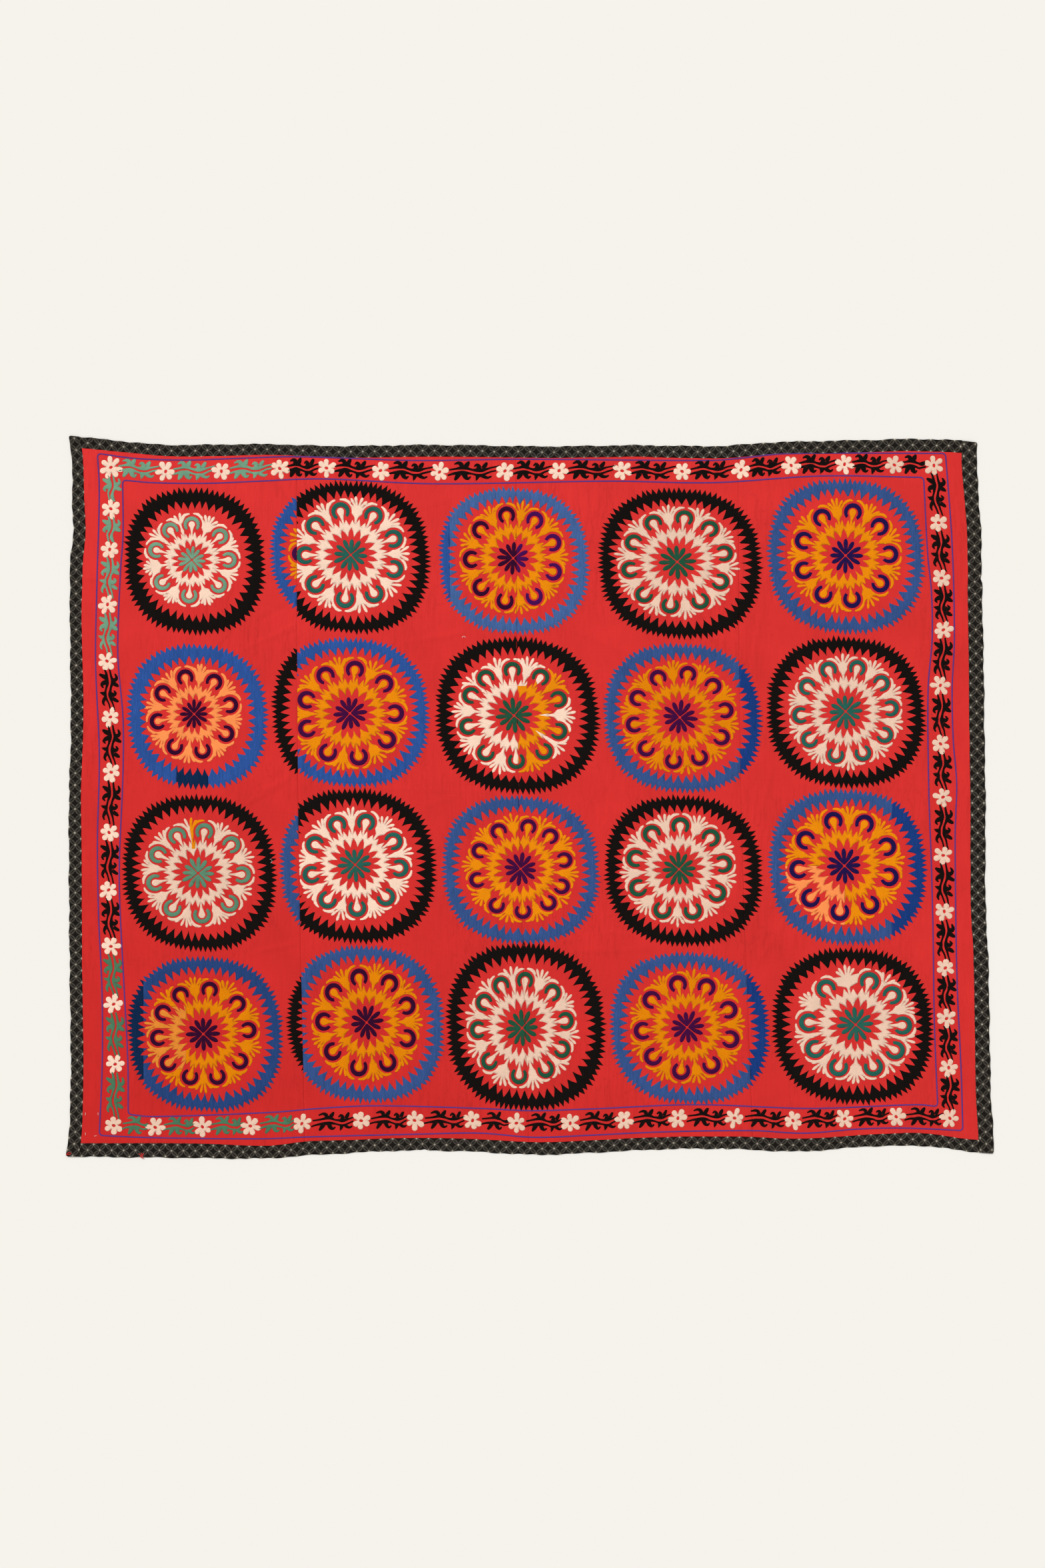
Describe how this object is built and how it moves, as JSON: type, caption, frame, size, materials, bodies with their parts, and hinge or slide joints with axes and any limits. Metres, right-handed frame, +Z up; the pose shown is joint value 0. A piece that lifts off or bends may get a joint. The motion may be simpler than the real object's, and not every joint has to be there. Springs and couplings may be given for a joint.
{
  "type": "suzani embroidered textile",
  "caption": "Large flat cotton cloth of sewn strips with embroidered sunburst medallions, a flower and vine border and a dark printed binding, lying face up",
  "frame": {"origin": "On the surface that the cloth lies on, under the middle of its bounding box", "axes": "+Z is up, out of the embroidered face; +X runs along the longer side; +Y points to the edge drawn at the top"},
  "size_m": [2.5064, 1.9529, 0.0028],
  "materials": {
    "red_cotton": "matt plain weave, bright red",
    "printed_cotton": "matt charcoal with a fine pale lattice print",
    "black_thread": "soft sheen, close couched stitches",
    "blue_thread": "soft sheen, close couched stitches",
    "navy_thread": "soft sheen, close couched stitches",
    "ivory_thread": "soft sheen, chain stitch",
    "orange_thread": "soft sheen, chain stitch",
    "peach_thread": "soft sheen, chain stitch",
    "light_green_thread": "soft sheen, chain stitch",
    "dark_green_thread": "soft sheen, chain stitch",
    "purple_thread": "soft sheen, chain stitch",
    "indigo_thread": "soft sheen, chain stitch",
    "violet_thread": "soft sheen, chain stitch",
    "white_thread": "matt sewing thread"
  },
  "bodies": {
    "root": {"panel_1": "red_cotton", "panel_2": "red_cotton", "panel_3": "red_cotton", "panel_4": "red_cotton", "binding_left": "printed_cotton", "binding_right": "printed_cotton", "binding_top": "printed_cotton", "binding_bottom": "printed_cotton"}
  },
  "joints": []
}
